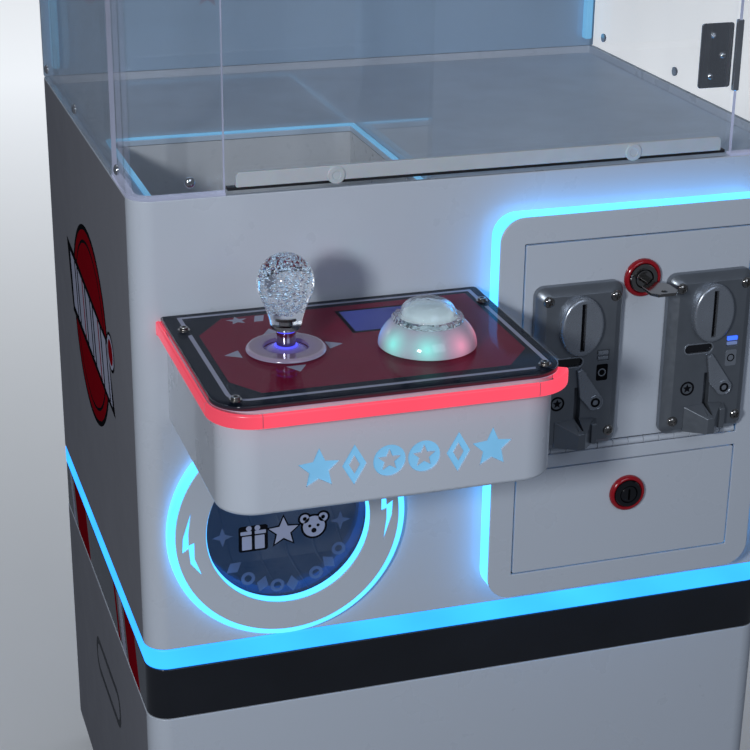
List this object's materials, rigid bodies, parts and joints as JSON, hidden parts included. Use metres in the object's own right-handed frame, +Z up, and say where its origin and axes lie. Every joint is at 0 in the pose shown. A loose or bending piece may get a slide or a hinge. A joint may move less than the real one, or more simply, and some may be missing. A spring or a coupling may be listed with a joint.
{
  "type": "claw crane machine",
  "caption": "Small arcade claw crane machine: lit cabinet, glass cabin with gantry and claw, console with stick and button, coin door, cash drawer and prize outlet flap.",
  "frame": {"origin": "on the floor, centre of the machine's bounding box", "axes": "+Z up, -Y towards the player, +X to the player's right"},
  "size_m": [0.48, 0.537, 1.41],
  "materials": {
    "white_paint": "semi-gloss powder coat",
    "black_skirt": "gloss",
    "cyan_light": "lit acrylic",
    "pink_light": "lit acrylic",
    "clear_acrylic": "polished",
    "tinted_acrylic": "polished tinted",
    "panel_print": "printed under clear acrylic",
    "milky_plastic": "translucent",
    "die_cast": "satin",
    "chrome": "polished",
    "steel": "brushed",
    "red_plastic": "gloss",
    "black_plastic": "fine texture",
    "rubber": "matte",
    "white_plastic": "satin"
  },
  "bodies": {
    "cabinet": {"base_cabinet": "white_paint", "cabinet_shell": "white_paint", "door_frame_plate": "white_paint", "console_box": "white_paint", "canopy_box": "white_paint", "prize_ring_plate": "white_paint", "skirt_band": "black_skirt", "floor_light_band": "cyan_light", "plate_light_band": "cyan_light", "prize_ring_light": "cyan_light", "console_light_band": "pink_light", "chute_guard": "clear_acrylic", "joystick_escutcheon": "clear_acrylic", "corner_glass_left": "clear_acrylic", "corner_glass_right": "clear_acrylic", "side_glass_left": "clear_acrylic", "side_glass_right": "clear_acrylic", "console_panel": "panel_print", "marquee_panel": "panel_print", "button_housing": "milky_plastic", "coin_door_hinge": "chrome", "gantry_rail_left": "steel", "gantry_rail_right": "steel", "power_inlet": "black_plastic", "console_display": "black_plastic", "joystick_housing": "black_plastic", "foot_front_left": "rubber", "foot_front_right": "rubber", "foot_back_left": "rubber", "foot_back_right": "rubber", "playfield_deck": "white_plastic", "prize_chute": "white_plastic", "cabin_back_wall": "white_plastic"},
    "coin_door": {"coin_door": "white_paint", "coin_acceptor_left": "die_cast", "coin_acceptor_right": "die_cast", "coin_lock_housing": "red_plastic"},
    "coin_lock": {"coin_lock_core": "chrome", "coin_lock_key": "chrome"},
    "return_lever_left": {"return_lever_left": "chrome"},
    "return_lever_right": {"return_lever_right": "chrome"},
    "cash_drawer": {"cash_drawer_front": "white_paint", "cash_drawer_tray": "black_plastic", "cash_lock_housing": "red_plastic"},
    "cash_lock": {"cash_lock_core": "chrome"},
    "joystick_gimbal": {"joystick_gimbal": "steel"},
    "joystick": {"joystick_shaft": "chrome", "joystick_knob": "clear_acrylic"},
    "button": {"button_plunger": "clear_acrylic"},
    "prize_door": {"prize_door": "tinted_acrylic"},
    "front_door": {"front_glass_door": "clear_acrylic", "window_baffle": "milky_plastic"},
    "service_door": {"service_door": "white_paint"},
    "bridge": {"gantry_bridge": "steel"},
    "trolley": {"trolley": "black_plastic"},
    "claw": {"claw_hub": "chrome", "claw_cable": "steel"},
    "finger_1": {"claw_finger_1": "chrome"},
    "finger_2": {"claw_finger_2": "chrome"},
    "finger_3": {"claw_finger_3": "chrome"}
  },
  "joints": [
    {"name": "coin_door_hinge", "type": "hinge", "parent": "cabinet", "child": "coin_door", "pos_m": [0.10565, -0.1187, 0.4222], "axis": [1, 0, 0], "range_deg": [0, 60]},
    {"name": "coin_lock_turn", "type": "hinge", "parent": "coin_door", "child": "coin_lock", "pos_m": [0.1074, -0.1208, 0.5453], "axis": [0, 1, 0], "range_deg": [-90, 0]},
    {"name": "return_lever_left_turn", "type": "hinge", "parent": "coin_door", "child": "return_lever_left", "pos_m": [0.057, -0.13255, 0.485], "axis": [0, 1, 0], "range_deg": [0, 18], "stiffness_Nm_per_rad": 0.02, "springref_deg": -20.05},
    {"name": "return_lever_right_turn", "type": "hinge", "parent": "coin_door", "child": "return_lever_right", "pos_m": [0.1558, -0.13255, 0.485], "axis": [0, 1, 0], "range_deg": [0, 18], "stiffness_Nm_per_rad": 0.02, "springref_deg": -20.05},
    {"name": "cash_drawer_slide", "type": "slide", "parent": "cabinet", "child": "cash_drawer", "axis": [0, -1, 0], "range_m": [0, 0.135]},
    {"name": "cash_lock_turn", "type": "hinge", "parent": "cash_drawer", "child": "cash_lock", "pos_m": [0.107, -0.1208, 0.3825], "axis": [0, 1, 0], "range_deg": [-90, 0]},
    {"name": "joystick_tilt_x", "type": "hinge", "parent": "cabinet", "child": "joystick_gimbal", "pos_m": [-0.1624, -0.1859, 0.5235], "axis": [1, 0, 0], "range_deg": [-11, 11], "stiffness_Nm_per_rad": 0.6},
    {"name": "joystick_tilt_y", "type": "hinge", "parent": "joystick_gimbal", "child": "joystick", "pos_m": [-0.1624, -0.1859, 0.5235], "axis": [0, 1, 0], "range_deg": [-11, 11], "stiffness_Nm_per_rad": 0.6},
    {"name": "button_press", "type": "slide", "parent": "cabinet", "child": "button", "axis": [0, 0, -1], "range_m": [0, 0.003], "stiffness_N_per_m": 250, "springref_m": -0.003},
    {"name": "prize_door_hinge", "type": "hinge", "parent": "cabinet", "child": "prize_door", "pos_m": [-0.1405, -0.0954, 0.4474], "axis": [1, 0, 0], "range_deg": [0, 60]},
    {"name": "front_door_hinge", "type": "hinge", "parent": "cabinet", "child": "front_door", "pos_m": [0.178, -0.1005, 0.9275], "axis": [0, 0, 1], "range_deg": [0, 105]},
    {"name": "service_door_hinge", "type": "hinge", "parent": "cabinet", "child": "service_door", "pos_m": [-0.1785, 0.2685, 0.445], "axis": [0, 0, 1], "range_deg": [0, 100]},
    {"name": "bridge_travel", "type": "slide", "parent": "cabinet", "child": "bridge", "axis": [0, 1, 0], "range_m": [0, 0.185]},
    {"name": "trolley_travel", "type": "slide", "parent": "bridge", "child": "trolley", "axis": [1, 0, 0], "range_m": [0, 0.27]},
    {"name": "claw_drop", "type": "slide", "parent": "trolley", "child": "claw", "axis": [0, 0, -1], "range_m": [0, 0.32], "deforming": ["claw_cable"]},
    {"name": "finger_1_swing", "type": "hinge", "parent": "claw", "child": "finger_1", "pos_m": [-0.1315, -0.0335, 1.084], "axis": [-1, 0, 0], "range_deg": [0, 32]},
    {"name": "finger_2_swing", "type": "hinge", "parent": "claw", "child": "finger_2", "pos_m": [-0.11072, 0.0025, 1.084], "axis": [0.5, -0.866, 0], "range_deg": [0, 32]},
    {"name": "finger_3_swing", "type": "hinge", "parent": "claw", "child": "finger_3", "pos_m": [-0.15228, 0.0025, 1.084], "axis": [0.5, 0.866, 0], "range_deg": [0, 32]}
  ],
  "couplings": [
    {"joint": "finger_2_swing", "follows": "finger_1_swing", "ratio": 1},
    {"joint": "finger_3_swing", "follows": "finger_1_swing", "ratio": 1}
  ]
}
